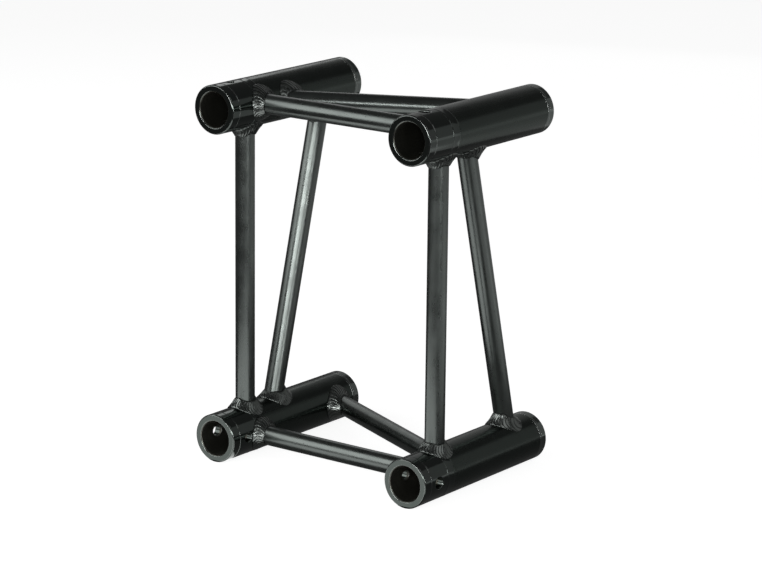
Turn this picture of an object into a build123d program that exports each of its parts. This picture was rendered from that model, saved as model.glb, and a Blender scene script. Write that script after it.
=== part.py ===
from build123d import *
import math
import os

# Short rectangular four-chord truss section. It stands on its two lower chords, which run along Y.
# The origin is the centre of its footprint, on the surface under the lower chords. +Z is up, the front
# sockets open towards -Y, and left is -X. All sizes are in millimetres.

# Frame
section_length = 210.0              # front end face to rear end face
chord_spacing_x = 240.0             # chord axis to chord axis, side to side
chord_spacing_z = 340.0             # chord axis to chord axis, bottom to top

# Chord tubes
chord_diameter = 50.0
chord_wall = 2.0

# Braces, and where their axes meet the chord axes, measured from the nearer end face
brace_diameter = 20.0
brace_wall = 2.0
square_frame_setback = 49.0         # the four straight braces, from the front face
crossbar_offset = 2.5               # crossbar axes, outward from the chord axes: up at the top, down below
side_diagonal_front_setback = 88.5
side_diagonal_rear_setback = 34.0
flat_diagonal_front_setback = 77.5  # the diagonals of the top and bottom faces
flat_diagonal_rear_setback = 19.0
foot_weld_radius = 7.5              # fillet weld round each brace end

# Sockets: a full-diameter nose outside the tube and a spigot inside it
front_nose_length = 38.0
front_socket_length = 64.0
rear_nose_length = 8.0
rear_socket_length = 52.0
spigot_clearance = 0.1              # radial gap between spigot and tube
spigot_lead = 1.5                   # chamfer on the spigot's inner end
rim_chamfer = 1.0
groove_setback = 11.0               # turned line round the front nose
groove_width = 0.8
groove_depth = 0.4

# Coupler bore: a short straight land at the mouth, then a taper down to a straight passage
coupler_bore_diameter = 36.0
mouth_chamfer = 1.0
bore_land_length = 10.0
taper_length = 27.0
passage_diameter = 30.0

# Cross holes for a tapered locking pin, front sockets only
pin_setback = 24.0
pin_large_diameter = 12.0
pin_small_diameter = 10.0
pin_edge_break = 0.4

# Girth welds between socket and tube, dressed flush
front_weld_width = 12.0
front_weld_root = 4.0
rear_weld_width = 3.0
rear_weld_root = 0.6

# Derived sizes
half_length = section_length / 2
chord_radius = chord_diameter / 2
tube_bore_radius = chord_radius - chord_wall
spigot_radius = tube_bore_radius - spigot_clearance
brace_radius = brace_diameter / 2
bottom_z = chord_radius
top_z = bottom_z + chord_spacing_z
left_x = -chord_spacing_x / 2
right_x = chord_spacing_x / 2

chords = {
    "top_left": (left_x, top_z),
    "top_right": (right_x, top_z),
    "bottom_left": (left_x, bottom_z),
    "bottom_right": (right_x, bottom_z),
}
# The wide end of each cross hole faces this way
pin_directions = {
    "top_left": (0, 0, -1),
    "top_right": (0, 0, 1),
    "bottom_left": (-1, 0, 0),
    "bottom_right": (1, 0, 0),
}

os.makedirs("parts", exist_ok=True)


def save(name, solid):
    """Write one piece to its own STEP file."""
    solid.label = name
    export_step(solid, f"parts/{name}.step")


def turned(points):
    """A solid turned about +Y from (distance inward from the end face, radius) points."""
    outline = Polyline(*[(radius, distance) for distance, radius in points], close=True)
    return revolve(make_face(outline), Axis.Y)


def at_front(chord):
    """Place a turned piece so that it runs inward from the chord's front end face."""
    x, z = chords[chord]
    return Location((x, -half_length, z))


def at_rear(chord):
    """Place a turned piece so that it runs inward from the chord's rear end face."""
    x, z = chords[chord]
    return Location((x, half_length, z), (0, 0, 180))


def bevel_run(width, root):
    """Length along the chord of each of the two slopes of a girth weld's groove."""
    return (width - root) / 2


def groove_points(setback):
    """The V of a turned line round a socket."""
    half = groove_width / 2
    return [
        (setback - half, chord_radius),
        (setback, chord_radius - groove_depth),
        (setback + half, chord_radius),
    ]


def socket(nose, length, weld_width, weld_root, lines):
    """A turned socket, with the turned lines on its nose given as points."""
    bore_radius = coupler_bore_diameter / 2
    land_end = mouth_chamfer + bore_land_length
    bevel_end = nose + bevel_run(weld_width, weld_root)
    outside = [
        (0, bore_radius + mouth_chamfer),
        (0, chord_radius - rim_chamfer),
        (rim_chamfer, chord_radius),
        *lines,
        (nose, chord_radius),
        (bevel_end, spigot_radius),
        (length - spigot_lead, spigot_radius),
        (length, spigot_radius - spigot_lead),
    ]
    inside = [
        (length, passage_diameter / 2),
        (land_end + taper_length, passage_diameter / 2),
        (land_end, bore_radius),
        (mouth_chamfer, bore_radius),
    ]
    return turned(outside + inside)


def girth_weld(nose, width, root):
    """The ring of weld that fills the groove between a socket's bevel and the tube's bevel."""
    run = bevel_run(width, root)
    return turned([
        (nose, chord_radius),
        (nose + run, spigot_radius),
        (nose + run + root, spigot_radius),
        (nose + run + root, tube_bore_radius),
        (nose + width, chord_radius),
    ])


def chord_tube():
    """The extruded tube, bevelled at both ends for its girth welds."""
    front_inner = front_nose_length + bevel_run(front_weld_width, front_weld_root) + front_weld_root
    rear_inner = rear_nose_length + bevel_run(rear_weld_width, rear_weld_root) + rear_weld_root
    return turned([
        (front_inner, tube_bore_radius),
        (front_nose_length + front_weld_width, chord_radius),
        (section_length - rear_nose_length - rear_weld_width, chord_radius),
        (section_length - rear_inner, tube_bore_radius),
    ])


def half_pin_hole(centre, direction, diameter):
    """One wall of a cross hole, drilled from the chord axis outward, with its outer edge broken."""
    radius = diameter / 2
    edge_height = math.sqrt(chord_radius**2 - radius**2) - pin_edge_break
    flare = chord_radius - edge_height
    plane = Plane(origin=centre, z_dir=direction)
    drill = Cylinder(radius, chord_radius, align=(Align.CENTER, Align.CENTER, Align.MIN))
    edge = Cone(radius, radius + flare, flare, align=(Align.CENTER, Align.CENTER, Align.MIN))
    return plane * (drill + Pos(0, 0, edge_height) * edge)


def drilled(solid, chord):
    """A front socket with the wide and the narrow wall of its cross hole cut through."""
    x, z = chords[chord]
    centre = (x, -half_length + pin_setback, z)
    wide = Vector(*pin_directions[chord])
    solid -= half_pin_hole(centre, wide, pin_large_diameter)
    solid -= half_pin_hole(centre, -wide, pin_small_diameter)
    return solid


def rod(start, end, radius):
    """A plain round bar from one point to another."""
    line = end - start
    bar = Cylinder(radius, line.length, align=(Align.CENTER, Align.CENTER, Align.MIN))
    return Plane(origin=start, z_dir=line) * bar


def chord_bar(chord):
    """The full outside of one chord from end face to end face."""
    x, z = chords[chord]
    return rod(Vector(x, -half_length, z), Vector(x, half_length, z), chord_radius)


def node_point(chord, y, lift):
    """The point at this place along a chord, this far above its axis."""
    x, z = chords[chord]
    return Vector(x, y, z + lift)


def brace_tube(first_chord, second_chord, line):
    """A brace tube with both ends coped to the outside of the chords."""
    tube = rod(*line, brace_radius) - rod(*line, brace_radius - brace_wall)
    return tube - chord_bar(first_chord) - chord_bar(second_chord)


def foot_weld(chord, line):
    """The fillet weld round a brace's end, between the outside of the chord and that of the brace."""
    bar = chord_bar(chord)
    outside = rod(*line, brace_radius)
    joined = bar + outside
    seam = joined.edges().filter_by(lambda edge: edge.geom_type not in (GeomType.LINE, GeomType.CIRCLE))
    return fillet(seam, foot_weld_radius) - bar - outside


front_socket = socket(
    front_nose_length, front_socket_length, front_weld_width, front_weld_root, groove_points(groove_setback)
)
rear_socket = socket(rear_nose_length, rear_socket_length, rear_weld_width, rear_weld_root, [])
front_girth_weld = girth_weld(front_nose_length, front_weld_width, front_weld_root)
rear_girth_weld = girth_weld(rear_nose_length, rear_weld_width, rear_weld_root)

for chord in chords:
    save(f"chord_tube_{chord}", at_front(chord) * chord_tube())
    save(f"front_socket_{chord}", drilled(at_front(chord) * front_socket, chord))
    save(f"rear_socket_{chord}", at_rear(chord) * rear_socket)
    save(f"front_girth_weld_{chord}", at_front(chord) * front_girth_weld)
    save(f"rear_girth_weld_{chord}", at_rear(chord) * rear_girth_weld)

frame_y = -half_length + square_frame_setback
side_front_y = -half_length + side_diagonal_front_setback
side_rear_y = half_length - side_diagonal_rear_setback
flat_front_y = -half_length + flat_diagonal_front_setback
flat_rear_y = half_length - flat_diagonal_rear_setback

# Each brace: its height above its chord axes, and for each end its name, its chord and its place along Y
braces = {
    "left_upright": (0, [("bottom", "bottom_left", frame_y), ("top", "top_left", frame_y)]),
    "right_upright": (0, [("bottom", "bottom_right", frame_y), ("top", "top_right", frame_y)]),
    "top_crossbar": (crossbar_offset, [("left", "top_left", frame_y), ("right", "top_right", frame_y)]),
    "bottom_crossbar": (
        -crossbar_offset, [("left", "bottom_left", frame_y), ("right", "bottom_right", frame_y)]
    ),
    "left_diagonal": (0, [("top", "top_left", side_rear_y), ("bottom", "bottom_left", side_front_y)]),
    "right_diagonal": (0, [("bottom", "bottom_right", side_rear_y), ("top", "top_right", side_front_y)]),
    "top_diagonal": (0, [("left", "top_left", flat_front_y), ("right", "top_right", flat_rear_y)]),
    "bottom_diagonal": (0, [("left", "bottom_left", flat_rear_y), ("right", "bottom_right", flat_front_y)]),
}

for name, (lift, ends) in braces.items():
    line = [node_point(chord, y, lift) for end, chord, y in ends]
    save(f"brace_{name}", brace_tube(ends[0][1], ends[1][1], line))
    for end, chord, y in ends:
        save(f"weld_{name}_{end}", foot_weld(chord, line))
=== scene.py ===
import math
import random

import bmesh
import bpy
from mathutils import Matrix, Vector


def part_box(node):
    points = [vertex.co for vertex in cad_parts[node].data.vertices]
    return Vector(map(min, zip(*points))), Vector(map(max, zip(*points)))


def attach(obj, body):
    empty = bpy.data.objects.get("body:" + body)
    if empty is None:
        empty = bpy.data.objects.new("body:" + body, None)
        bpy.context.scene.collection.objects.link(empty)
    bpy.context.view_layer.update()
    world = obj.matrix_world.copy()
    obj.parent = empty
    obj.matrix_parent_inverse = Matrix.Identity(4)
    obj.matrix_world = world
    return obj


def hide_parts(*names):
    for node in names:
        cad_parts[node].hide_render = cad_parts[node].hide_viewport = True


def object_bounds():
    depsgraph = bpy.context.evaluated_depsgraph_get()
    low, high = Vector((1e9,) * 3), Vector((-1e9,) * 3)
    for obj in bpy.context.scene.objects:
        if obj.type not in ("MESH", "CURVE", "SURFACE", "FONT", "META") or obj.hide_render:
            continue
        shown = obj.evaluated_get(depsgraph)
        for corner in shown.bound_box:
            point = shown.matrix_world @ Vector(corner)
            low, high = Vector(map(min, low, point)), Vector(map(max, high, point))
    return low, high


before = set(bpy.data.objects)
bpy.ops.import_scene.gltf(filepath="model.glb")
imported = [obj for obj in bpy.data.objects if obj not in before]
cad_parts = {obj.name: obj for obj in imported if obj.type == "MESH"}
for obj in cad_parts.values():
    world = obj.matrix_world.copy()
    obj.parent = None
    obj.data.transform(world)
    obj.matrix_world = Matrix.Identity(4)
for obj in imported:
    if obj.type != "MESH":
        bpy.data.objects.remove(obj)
cad_low, cad_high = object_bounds()
scene = bpy.context.scene
random.seed(7)

# Camera: a long lens from the front right, a little above the section, level but for half a degree of roll.
view_azimuth, view_elevation, view_roll = math.radians(36.70), math.radians(14.18), math.radians(0.609)
view_distance, aim_right, aim_up = 3.0668, 0.00851, -0.00584
camera_back = Vector((
    math.sin(view_azimuth) * math.cos(view_elevation),
    -math.cos(view_azimuth) * math.cos(view_elevation),
    math.sin(view_elevation),
))
camera_right = Vector((math.cos(view_azimuth), math.sin(view_azimuth), 0))
camera_up = camera_back.cross(camera_right)
camera = bpy.data.objects.new("camera", bpy.data.cameras.new("camera"))
camera.data.sensor_width = 36
camera.data.lens = 143.8
camera.data.clip_end = 40
aim = (cad_low + cad_high) / 2 + camera_right * aim_right + camera_up * aim_up
camera.location = aim + camera_back * view_distance
axes = Matrix((camera_right, camera_up, camera_back)).transposed()
camera.rotation_euler = (axes @ Matrix.Rotation(view_roll, 3, "Z")).to_euler()
scene.collection.objects.link(camera)
scene.camera = camera

# Floor: plain white paper, the same all over. The lens sees it near white, with the soft shade of the lamps;
# the metal mirrors it as an even dim grey.
paper_radius, paper_seen_glow, paper_shade, paper_mirrored_glow = 6.0, 0.9, 0.35, 0.08


def seen_apart(nodes, links, seen, mirrored, output):
    """Show the lens one shader, and every other ray another."""
    ray = nodes.new("ShaderNodeLightPath")
    either = nodes.new("ShaderNodeMixShader")
    links.new(ray.outputs["Is Camera Ray"], either.inputs["Fac"])
    links.new(mirrored.outputs[0], either.inputs[1])
    links.new(seen.outputs[0], either.inputs[2])
    links.new(either.outputs[0], output.inputs["Surface"])


floor_mesh = bmesh.new()
bmesh.ops.create_circle(floor_mesh, cap_ends=True, segments=128, radius=paper_radius)
floor_data = bpy.data.meshes.new("floor")
floor_mesh.to_mesh(floor_data)
floor_mesh.free()
floor = bpy.data.objects.new("floor", floor_data)
scene.collection.objects.link(floor)
paper = bpy.data.materials.new("paper")
paper.use_nodes = True
nodes, links = paper.node_tree.nodes, paper.node_tree.links
mirrored = nodes.new("ShaderNodeEmission")
mirrored.inputs["Strength"].default_value = paper_mirrored_glow
white = nodes.new("ShaderNodeEmission")
white.inputs["Strength"].default_value = paper_seen_glow
shaded = nodes.new("ShaderNodeBsdfDiffuse")
shaded.inputs["Color"].default_value = (paper_shade, paper_shade, paper_shade, 1)
seen = nodes.new("ShaderNodeAddShader")
links.new(white.outputs[0], seen.inputs[0])
links.new(shaded.outputs[0], seen.inputs[1])
seen_apart(nodes, links, seen, mirrored, nodes["Material Output"])
floor.data.materials.append(paper)

# Studio: dark walls that the lens sees as more white paper, eight soft boxes hung round the section, and
# three more that lie on the paper facing up.
wall_glow = 0.08
world = bpy.data.worlds.new("studio")
scene.world = world
world.use_nodes = True
nodes, links = world.node_tree.nodes, world.node_tree.links
walls = nodes["Background"]
walls.inputs["Color"].default_value = (wall_glow, wall_glow, wall_glow, 1)
beyond = nodes.new("ShaderNodeBackground")
beyond.inputs["Color"].default_value = (1, 1, 1, 1)
seen_apart(nodes, links, beyond, walls, nodes["World Output"])
scene.view_settings.view_transform = "Standard"

lamp_distance = 2.4


def soft_box(name, shape, width, height, light_sum):
    """A soft box out of the lens's sight. The light sum is its brightness times its area."""
    light = bpy.data.lights.new(name, "AREA")
    light.shape = shape
    light.size = width
    light.size_y = height
    light.energy = math.pi * light_sum
    lamp = bpy.data.objects.new(name, light)
    lamp.visible_camera = False
    scene.collection.objects.link(lamp)
    return lamp


# name, degrees clockwise from straight behind, lowest and highest edge in degrees, width in degrees, and
# brightness
soft_boxes = [
    ("box_right_front", 112, -1, 12, 18, 7.5),
    ("box_by_camera", 152, 7, 19, 40, 8.0),
    ("box_front", 182, 5, 23, 22, 6.0),
    ("box_left_front", 224, 8, 45, 46, 2.2),
    ("box_left_back", 305, 18, 34, 36, 0.8),
    ("box_behind_left", 340, -2, 34, 34, 0.2),
    ("box_behind_right", 38, -4, 28, 36, 0.18),
    ("box_right", 95, 30, 55, 40, 0.6),
]
centre = (cad_low + cad_high) / 2
for name, azimuth, lowest, highest, width, brightness in soft_boxes:
    azimuth, middle = math.radians(azimuth), math.radians((lowest + highest) / 2)
    towards = Vector((
        math.sin(azimuth) * math.cos(middle),
        math.cos(azimuth) * math.cos(middle),
        math.sin(middle),
    ))
    hung_width = 2 * lamp_distance * math.tan(math.radians(width / 2))
    hung_height = 2 * lamp_distance * math.tan(math.radians((highest - lowest) / 2))
    lamp = soft_box(name, "RECTANGLE", hung_width, hung_height, brightness * hung_width * hung_height)
    lamp.location = centre + towards * lamp_distance
    lamp.rotation_euler = towards.to_track_quat("Z", "Y").to_euler()

# soft boxes lying on the paper, facing up: name, place, widths along X and Y, brightness
card_height = 0.002
for name, x, y, width, depth, brightness in (
    ("card_front", -0.03, -0.30, 0.72, 0.43, 1.17),
    ("card_right", 0.80, 0.22, 0.94, 0.94, 0.4),
    ("card_behind_right", 3.0, 4.0, 8.9, 8.9, 0.28),
):
    lamp = soft_box(name, "ELLIPSE", width, depth, brightness * math.pi / 4 * width * depth)
    lamp.location = (x, y, card_height)
    lamp.rotation_euler = (math.pi, 0, 0)

# Sockets: turned aluminium, welded into both ends of each chord tube, with a dark gloss finish. The lathe
# leaves fine rings round the nose and across the end face.
chord_axes = {}
for chord in ("top_left", "top_right", "bottom_left", "bottom_right"):
    low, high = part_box(f"chord_tube_{chord}")
    chord_axes[chord] = ((low.x + high.x) / 2, (low.z + high.z) / 2)


def metal(name, colour, roughness):
    """A bare material with the dark metal's colour and gloss, and its nodes, links and shader."""
    paint = bpy.data.materials.new(name)
    paint.use_nodes = True
    tree = paint.node_tree
    shader = tree.nodes["Principled BSDF"]
    shader.inputs["Base Color"].default_value = (*colour, 1)
    shader.inputs["Metallic"].default_value = 1
    shader.inputs["Roughness"].default_value = roughness
    return paint, tree.nodes, tree.links, shader


def scaled_noise(nodes, links, vector, scale, detail):
    noise = nodes.new("ShaderNodeTexNoise")
    noise.inputs["Scale"].default_value = scale
    noise.inputs["Detail"].default_value = detail
    links.new(vector, noise.inputs["Vector"])
    return noise.outputs["Fac"]


def ranged(nodes, links, value, low, high, from_low=0.3, from_high=0.7):
    change = nodes.new("ShaderNodeMapRange")
    change.inputs["From Min"].default_value = from_low
    change.inputs["From Max"].default_value = from_high
    change.inputs["To Min"].default_value = low
    change.inputs["To Max"].default_value = high
    links.new(value, change.inputs["Value"])
    return change.outputs["Result"]


def bumped(nodes, links, shader, height, distance, edge_radius=0.0):
    """Relief from a height, over edges that are worn round to this radius."""
    bump = nodes.new("ShaderNodeBump")
    bump.inputs["Distance"].default_value = distance
    links.new(height, bump.inputs["Height"])
    if edge_radius:
        links.new(rounded(nodes, edge_radius), bump.inputs["Normal"])
    links.new(bump.outputs["Normal"], shader.inputs["Normal"])


def rounded(nodes, radius):
    """The surface's normal with its edges worn round."""
    worn_edge = nodes.new("ShaderNodeBevel")
    worn_edge.samples = 8
    worn_edge.inputs["Radius"].default_value = radius
    return worn_edge.outputs["Normal"]


def blended(nodes, links, share, first, second, kind="RGBA"):
    """A mix of two colours or values by a share from 0 to 1. Either may be a socket."""
    mix = nodes.new("ShaderNodeMix")
    mix.data_type = kind
    links.new(share, mix.inputs["Factor"])
    for slot, value in (("A", first), ("B", second)):
        if isinstance(value, bpy.types.NodeSocket):
            links.new(value, mix.inputs[slot])
        else:
            mix.inputs[slot].default_value = value
    return mix.outputs["Result"]


# how fine and how deep the lathe's rings are
ring_scale, ring_relief = 900, 0.00002
# how broad the handled patches are, and how smooth and how dull handling leaves them
handled_scale, handled_smooth, handled_dull = 60, 0.7, 1.5
# inside the bore the finish is duller than on the nose
bore_edge, bore_blend = 0.0187, 0.0002
bore_colour, bore_roughness, bore_metallic = (0.09, 0.09, 0.075), 0.35, 0.9
# sharp edges are worn round, and bare metal shows along them; the lighter colour along every edge is also a
# painted highlight, standing in for the edges' glints
worn_radius, bare_and_glint_radius, bare_and_glint_threshold = 0.0009, 0.0006, (0.93, 0.99)
bare_and_glint_colour = (0.33, 0.345, 0.335)


def turned_finish(name, chord, colour, roughness):
    """Gloss metal with lathe rings about one chord's axis."""
    paint, nodes, links, shader = metal(name, colour, roughness)
    place = nodes.new("ShaderNodeTexCoord")
    about_axis = nodes.new("ShaderNodeMapping")
    about_axis.vector_type = "POINT"
    about_axis.inputs["Location"].default_value = (-chord_axes[chord][0], 0, -chord_axes[chord][1])
    apart = nodes.new("ShaderNodeSeparateXYZ")
    flat = nodes.new("ShaderNodeCombineXYZ")
    radius = nodes.new("ShaderNodeVectorMath")
    radius.operation = "LENGTH"
    ringed = nodes.new("ShaderNodeCombineXYZ")
    links.new(place.outputs["Object"], about_axis.inputs["Vector"])
    links.new(about_axis.outputs["Vector"], apart.inputs["Vector"])
    links.new(apart.outputs["X"], flat.inputs["X"])
    links.new(apart.outputs["Z"], flat.inputs["Y"])
    links.new(flat.outputs["Vector"], radius.inputs[0])
    links.new(radius.outputs["Value"], ringed.inputs["X"])
    links.new(apart.outputs["Y"], ringed.inputs["Y"])
    rings = scaled_noise(nodes, links, ringed.outputs["Vector"], ring_scale, 3)
    wear = scaled_noise(nodes, links, place.outputs["Object"], handled_scale, 4)
    outside_roughness = ranged(nodes, links, wear, roughness * handled_smooth, roughness * handled_dull)
    # 0 in the bore, 1 on the end face and outside
    outside = ranged(nodes, links, radius.outputs["Value"], 0, 1, bore_edge - bore_blend, bore_edge)
    tint = blended(nodes, links, outside, (*bore_colour, 1), (*colour, 1))
    surface = nodes.new("ShaderNodeNewGeometry")
    edge = nodes.new("ShaderNodeVectorMath")
    edge.operation = "DOT_PRODUCT"
    # lighter along every sharp edge: partly bare metal, partly a painted highlight for the edges' glints
    links.new(rounded(nodes, bare_and_glint_radius), edge.inputs[0])
    links.new(surface.outputs["Normal"], edge.inputs[1])
    bare_and_glint_edges = ranged(nodes, links, edge.outputs["Value"], 1, 0, *bare_and_glint_threshold)
    links.new(blended(nodes, links, bare_and_glint_edges, tint, (*bare_and_glint_colour, 1)), shader.inputs["Base Color"])
    links.new(
        blended(nodes, links, outside, bore_roughness, outside_roughness, "FLOAT"),
        shader.inputs["Roughness"],
    )
    links.new(ranged(nodes, links, outside, bore_metallic, 1, 0, 1), shader.inputs["Metallic"])
    bumped(nodes, links, shader, rings, ring_relief, edge_radius=worn_radius)
    return paint


nose_colour, collar_colour, turned_roughness = (0.085, 0.098, 0.091), (0.17, 0.19, 0.18), 0.09
for chord in chord_axes:
    nose_finish = turned_finish(f"turned_nose_{chord}", chord, nose_colour, turned_roughness)
    collar_finish = turned_finish(f"turned_collar_{chord}", chord, collar_colour, turned_roughness)
    for node, finish in (
        (f"front_socket_{chord}", nose_finish),
        (f"rear_socket_{chord}", collar_finish),
        (f"rear_girth_weld_{chord}", collar_finish),
    ):
        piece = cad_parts[node]
        piece.data.materials.clear()
        piece.data.materials.append(finish)

# Girth welds: the ring of weld that joins each front socket to its tube, turned flush after welding. The
# turning left a hairline step at both sides, which catches the light.
band_edge, band_lip, band_root = 0.0004, 0.00008, 0.0012
band_roughness, band_steps = 0.12, 144
# how far inward from the ring's edge, and how high above the tube
band_profile = [
    (0, -band_root),
    (0.1 * band_edge, -2 * band_edge),
    (band_edge, -0.2 * band_edge),
    (1.8 * band_edge, band_lip),
    (4 * band_edge, band_lip),
    (6 * band_edge, 0),
]
tube_low, tube_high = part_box("chord_tube_top_left")
chord_radius = (tube_high.z - tube_low.z) / 2
band_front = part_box("front_girth_weld_top_left")[0].y
band_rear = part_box("front_girth_weld_top_left")[1].y
for chord, (chord_x, chord_z) in chord_axes.items():
    band = bmesh.new()
    near = [(band_front + inward, chord_radius + height) for inward, height in band_profile]
    far = [(band_rear - inward, chord_radius + height) for inward, height in reversed(band_profile)]
    points = [band.verts.new((chord_x, y, chord_z + r)) for y, r in near + far]
    sides = [band.edges.new((a, b)) for a, b in zip(points, points[1:] + points[:1])]
    bmesh.ops.spin(
        band, geom=points + sides, cent=(chord_x, 0, chord_z), axis=(0, 1, 0),
        angle=2 * math.pi, steps=band_steps, use_merge=True,
    )
    bmesh.ops.recalc_face_normals(band, faces=band.faces)
    band_data = bpy.data.meshes.new(f"girth_band_{chord}")
    band.to_mesh(band_data)
    band.free()
    band_data.shade_smooth()
    piece = bpy.data.objects.new(f"girth_band_{chord}", band_data)
    scene.collection.objects.link(piece)
    piece.data.materials.append(turned_finish(f"turned_band_{chord}", chord, nose_colour, band_roughness))
    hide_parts(f"front_girth_weld_{chord}")
    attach(piece, "root")

# Chord tubes: 50 mm extruded aluminium tube, with a dark satin finish over faint lines from the die. A few
# small pits are strewn over it.
# the die's lines: how fine the sharp and the broad ones are across the tube, and what share of that along it
line_scale, broad_line_scale, line_stretch = 700, 160, 0.004
# how broad the duller patches are, the range of their noise, and what shares of the roughness they reach
patch_scale, patch_range, patch_smooth, patch_dull = 45, (0.7, 1.3), 0.75, 1.3
# how finely the pits are strewn, and how high the noise runs where one starts and where it is full
pit_scale, pit_threshold = 700, (0.81, 0.84)
pit_colour = (0.03, 0.034, 0.031, 1)


def drawn_finish(name, direction, colour, roughness, streak):
    """Satin metal with fine lines along one direction, and a few small pits."""
    paint, nodes, links, shader = metal(name, colour, roughness)
    place = nodes.new("ShaderNodeTexCoord")
    along = nodes.new("ShaderNodeMapping")
    along.vector_type = "POINT"
    turn = direction.rotation_difference(Vector((0, 0, 1)))
    along.inputs["Rotation"].default_value = turn.to_euler()
    stretched = nodes.new("ShaderNodeVectorMath")
    stretched.operation = "MULTIPLY"
    stretched.inputs[1].default_value = (1, 1, line_stretch)
    links.new(place.outputs["Object"], along.inputs["Vector"])
    links.new(along.outputs["Vector"], stretched.inputs[0])
    lines = scaled_noise(nodes, links, stretched.outputs["Vector"], line_scale, 3)
    broad_lines = scaled_noise(nodes, links, stretched.outputs["Vector"], broad_line_scale, 2)
    patches = scaled_noise(nodes, links, place.outputs["Object"], patch_scale, 4)
    both = nodes.new("ShaderNodeMath")
    both.operation = "ADD"
    links.new(broad_lines, both.inputs[0])
    links.new(patches, both.inputs[1])
    smoothest, dullest = roughness * patch_smooth, roughness * patch_dull
    dullness = ranged(nodes, links, both.outputs[0], smoothest, dullest, *patch_range)
    links.new(dullness, shader.inputs["Roughness"])
    bumped(nodes, links, shader, lines, streak)
    grain = scaled_noise(nodes, links, place.outputs["Object"], pit_scale, 0)
    pits = ranged(nodes, links, grain, 0, 1, *pit_threshold)
    links.new(blended(nodes, links, pits, (*colour, 1), pit_colour), shader.inputs["Base Color"])
    return paint


tube_colour, tube_roughness, tube_streak = (0.062, 0.074, 0.067), 0.24, 0.00001
tube_finish = drawn_finish("extruded_satin", Vector((0, 1, 0)), tube_colour, tube_roughness, tube_streak)
for chord in chord_axes:
    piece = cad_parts[f"chord_tube_{chord}"]
    piece.data.materials.clear()
    piece.data.materials.append(tube_finish)

# Braces: 20 mm drawn aluminium tube, each end coped to the chord. The finish is a little lighter than the
# chords', with fine lines along the tube and a few specks.
brace_radius = 0.010
# where the diagonals' axes meet the chords' axes, inward from the front and the rear end faces
side_front_setback, side_rear_setback = 0.0885, 0.034
flat_front_setback, flat_rear_setback = 0.0775, 0.019


def box_middle(node):
    low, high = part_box(node)
    return (low + high) / 2


def node_place(chord, y, lift):
    x, z = chord_axes[chord]
    return Vector((x, y, z + lift))


straight_y = box_middle("brace_left_upright").y
crossbar_lift = box_middle("brace_top_crossbar").z - chord_axes["top_left"][1]
front_y, rear_y = cad_low.y, cad_high.y
side_diagonal = (front_y + side_front_setback, rear_y - side_rear_setback)
flat_diagonal = (front_y + flat_front_setback, rear_y - flat_rear_setback)
# each brace's two ends: the end's name, its chord, where its axis meets the chord's, and its lift
brace_ends = {
    "left_upright": [("bottom", "bottom_left", straight_y, 0), ("top", "top_left", straight_y, 0)],
    "right_upright": [("bottom", "bottom_right", straight_y, 0), ("top", "top_right", straight_y, 0)],
    "top_crossbar": [
        ("left", "top_left", straight_y, crossbar_lift),
        ("right", "top_right", straight_y, crossbar_lift),
    ],
    "bottom_crossbar": [
        ("left", "bottom_left", straight_y, -crossbar_lift),
        ("right", "bottom_right", straight_y, -crossbar_lift),
    ],
    "left_diagonal": [
        ("bottom", "bottom_left", side_diagonal[0], 0),
        ("top", "top_left", side_diagonal[1], 0),
    ],
    "right_diagonal": [
        ("bottom", "bottom_right", side_diagonal[1], 0),
        ("top", "top_right", side_diagonal[0], 0),
    ],
    "top_diagonal": [
        ("left", "top_left", flat_diagonal[0], 0),
        ("right", "top_right", flat_diagonal[1], 0),
    ],
    "bottom_diagonal": [
        ("left", "bottom_left", flat_diagonal[1], 0),
        ("right", "bottom_right", flat_diagonal[0], 0),
    ],
}
brace_colour, brace_roughness, brace_streak = (0.132, 0.146, 0.139), 0.28, 0.000006
for name, ends in brace_ends.items():
    first, second = (node_place(chord, y, lift) for end, chord, y, lift in ends)
    along_brace = (second - first).normalized()
    finish = drawn_finish(f"drawn_{name}", along_brace, brace_colour, brace_roughness, brace_streak)
    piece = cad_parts[f"brace_{name}"]
    piece.data.materials.clear()
    piece.data.materials.append(finish)

# Foot welds: one bead of filler metal laid round each brace end by hand, in overlapping ripples, from the
# brace's wall down to the chord's. The dark finish is thinner on them, so they shine. Their colour also
# carries
# painted light: a painted highlight on the back of each ripple, and painted shade in the valleys and along
# both toes.
bead_steps, bead_section = 324, 20
# the plain ring that each bead is shaped from
ring_radius, ring_thickness = 0.014, 0.003
bead_leg, bead_lip, bead_sink = 0.0087, 0.0009, 0.0006
# how far the leg changes round a brace that leans this much along the chord, and what counts as leaning
leg_change, full_lean, square_lean = 0.0032, 0.3, 0.05
# the share of the bead's section that is in sight, and how hollow it is between its toes
shown_turn, hollow = 0.75, 0.62
# how far the welder's hand wanders, twice and five times round, and how much of it the lower toe answers
slow_wander, quick_wander, toe_share = 0.0005, 0.0004, 0.6
# the ripples' spacing and height, and how far they bow forward, in spacings
ripple_pitch, ripple_height, ripple_bow = 0.0034, 0.0009, 1.1
# the share of a ripple over which its painted highlight rises, the share over which it falls and where that
# ends, and the share of the section that each toe's painted shade takes
highlight_rise, highlight_fall, highlight_end, toe_shade_share = 0.3, 0.15, 1.06, 0.1


def wall_height(chord, foot, axis, outward, reach):
    """How far up the brace's axis a line parallel to it, this far out from it, leaves the chord."""
    start = foot + outward * reach
    off_x, off_z = start.x - chord_axes[chord][0], start.z - chord_axes[chord][1]
    # the line leaves where it is one chord radius from the chord's axis, a quadratic in the height
    squared = axis.x**2 + axis.z**2
    half_linear = off_x * axis.x + off_z * axis.z
    constant = off_x**2 + off_z**2 - chord_radius**2
    return (-half_linear + math.sqrt(max(half_linear * half_linear - squared * constant, 0))) / squared


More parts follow.
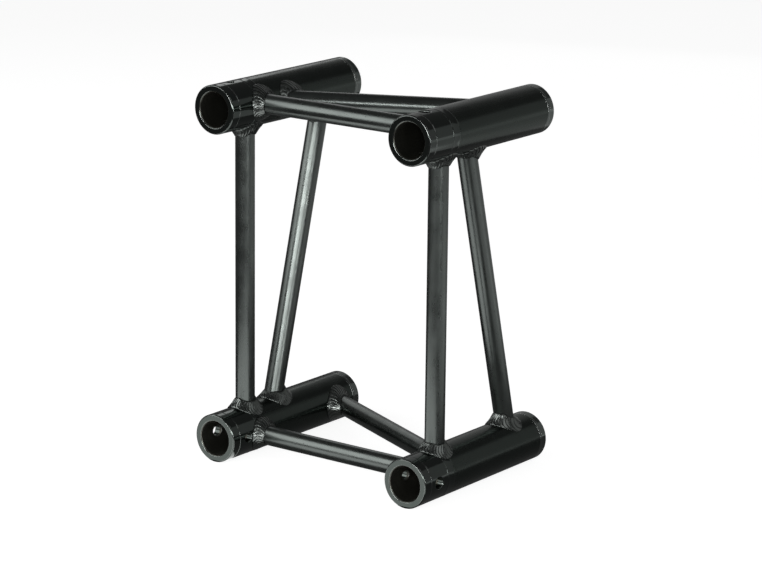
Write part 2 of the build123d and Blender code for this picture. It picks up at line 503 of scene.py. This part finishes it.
def bead_point(chord, foot, axis, along, across, angle, round_section, seed):
    """A point of the bead and its painted light and shade: angle goes round the brace, round_section round
    the bead.
    """
    outward = along * math.cos(angle) + across * math.sin(angle)
    leg = bead_leg
    if abs(axis.y) > square_lean:
        # the bead is wider in the sharp corner of a leaning brace, and narrower in its wide corner
        leg += leg_change * math.cos(angle) * axis.y / full_lean
    wander = math.sin(2 * angle + seed) * slow_wander + math.sin(5 * angle + 2.3 * seed) * quick_wander
    up_leg = leg + wander
    out_leg = leg - toe_share * wander
    wall = foot + outward * brace_radius + axis * wall_height(chord, foot, axis, outward, brace_radius)
    upper = wall + axis * up_leg
    reach = brace_radius + out_leg
    lower = foot + outward * reach + axis * wall_height(chord, foot, axis, outward, reach)
    facing = (lower - wall).normalized() + axis
    facing.normalize()
    turn = round_section / (2 * math.pi)
    if turn < shown_turn:
        share = turn / shown_turn
        corner = wall.lerp((upper + lower) / 2, hollow)
        point = upper * (1 - share) ** 2 + corner * 2 * share * (1 - share) + lower * share**2
        distance_round = angle * (brace_radius + leg / 2)
        saw = (distance_round / ripple_pitch + ripple_bow * math.sin(math.pi * share) + seed) % 1.0
        ripple = ripple_height * (math.sqrt(max(1 - (1 - saw) ** 2, 0)) - 0.5)
        lip = bead_lip * (1 - (2 * share - 1) ** 8)
        # painted highlight on the back of each ripple, painted shade in the valley ahead of it and along
        # both toes
        painted_bead_light = min(1, saw / highlight_rise, (highlight_end - saw) / highlight_fall)
        painted_bead_light *= min(1, share / toe_shade_share, (1 - share) / toe_shade_share)
        ripple *= math.sin(math.pi * share) ** 0.5
        return point + facing * (lip + ripple - bead_sink * 0.5), painted_bead_light
    share = (turn - shown_turn) / (1 - shown_turn)
    sunk = upper * share**2 + wall * 2 * share * (1 - share) + lower * (1 - share) ** 2
    return sunk - facing * bead_sink * 2, 0.0


# the weld's colour runs from near black as painted shade to light as painted highlight, by each vertex's
# painted light
valley_shade_colour, ripple_highlight_colour = (0.01, 0.012, 0.011), (0.2, 0.217, 0.207)
smear_scale, weld_smooth, weld_dull = 160, 0.12, 0.32
weld_pit_scale, weld_pit_depth = 500, 0.0001
weld_paint, nodes, links, shader = metal("weld_gloss", ripple_highlight_colour, weld_smooth)
painted_bead_light = nodes.new("ShaderNodeAttribute")
painted_bead_light.attribute_name = "painted_bead_light"
tint = blended(nodes, links, painted_bead_light.outputs["Fac"], (*valley_shade_colour, 1), (*ripple_highlight_colour, 1))
links.new(tint, shader.inputs["Base Color"])
place = nodes.new("ShaderNodeTexCoord")
weld_pits = scaled_noise(nodes, links, place.outputs["Object"], weld_pit_scale, 4)
smears = scaled_noise(nodes, links, place.outputs["Object"], smear_scale, 3)
links.new(ranged(nodes, links, smears, weld_smooth, weld_dull), shader.inputs["Roughness"])
bumped(nodes, links, shader, weld_pits, weld_pit_depth)

for name, ends in brace_ends.items():
    for (end, chord, y, lift), (_, far_chord, far_y, far_lift) in (ends, ends[::-1]):
        foot = node_place(chord, y, lift)
        axis = (node_place(far_chord, far_y, far_lift) - foot).normalized()
        across = axis.cross(Vector((0, 1, 0))).normalized()
        along = across.cross(axis).normalized()
        seed = random.uniform(0, 6)
        bead = bmesh.new()
        upright = Matrix.Translation((ring_radius, 0, 0)) @ Matrix.Rotation(math.pi / 2, 4, "X")
        bmesh.ops.create_circle(bead, segments=bead_section, radius=ring_thickness, matrix=upright)
        bmesh.ops.spin(
            bead, geom=bead.verts[:] + bead.edges[:], cent=(0, 0, 0), axis=(0, 0, 1),
            angle=2 * math.pi, steps=bead_steps, use_merge=True,
        )
        # painted light and shade, kept per vertex
        painted_light_layer = bead.verts.layers.float.new("painted_bead_light")
        for vertex in bead.verts:
            angle = math.atan2(vertex.co.y, vertex.co.x) % (2 * math.pi)
            out = math.hypot(vertex.co.x, vertex.co.y) - ring_radius
            round_section = math.atan2(-vertex.co.z, out) % (2 * math.pi)
            vertex.co, vertex[painted_light_layer] = bead_point(
                chord, foot, axis, along, across, angle, round_section, seed
            )
        bmesh.ops.recalc_face_normals(bead, faces=bead.faces)
        bead_data = bpy.data.meshes.new(f"bead_{name}_{end}")
        bead.to_mesh(bead_data)
        bead.free()
        bead_data.shade_smooth()
        piece = bpy.data.objects.new(f"bead_{name}_{end}", bead_data)
        scene.collection.objects.link(piece)
        piece.data.materials.append(weld_paint)
        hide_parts(f"weld_{name}_{end}")
        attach(piece, "root")
